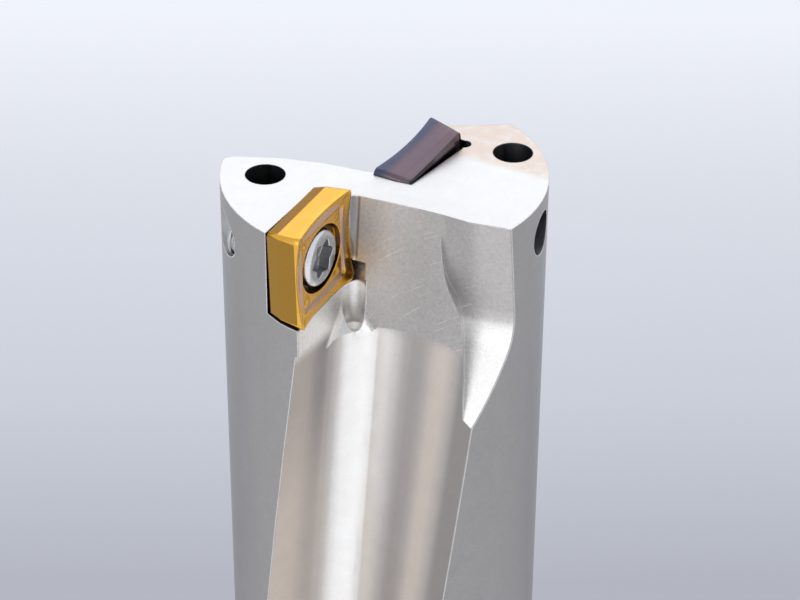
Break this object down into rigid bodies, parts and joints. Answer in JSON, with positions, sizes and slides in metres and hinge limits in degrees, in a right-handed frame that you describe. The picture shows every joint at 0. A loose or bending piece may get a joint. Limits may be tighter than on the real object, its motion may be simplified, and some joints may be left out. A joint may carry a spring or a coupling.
{
  "type": "indexable drill",
  "caption": "Right-hand indexable drill with a gold outer and a dark central square insert, helical chip flutes, coolant bores, collar and cylindrical shank with a clamping flat.",
  "frame": {"origin": "centre of the shank's rear face", "axes": "+Z along the drill's axis towards the cutting tip; the peripheral insert is on the -X side with its rake face towards -Y; the clamping flat faces +X"},
  "size_m": [0.044, 0.044, 0.1809],
  "materials": {
    "body_steel": "satin milled and ground steel",
    "gold_coating": "thin gold coating on ground carbide",
    "dark_coating": "thin dark violet coating on ground carbide",
    "screw_steel": "bright turned steel"
  },
  "bodies": {
    "root": {"drill_body": "body_steel", "peripheral_insert": "gold_coating", "peripheral_insert_screw": "screw_steel", "central_insert": "dark_coating", "central_insert_screw": "screw_steel"}
  },
  "joints": []
}
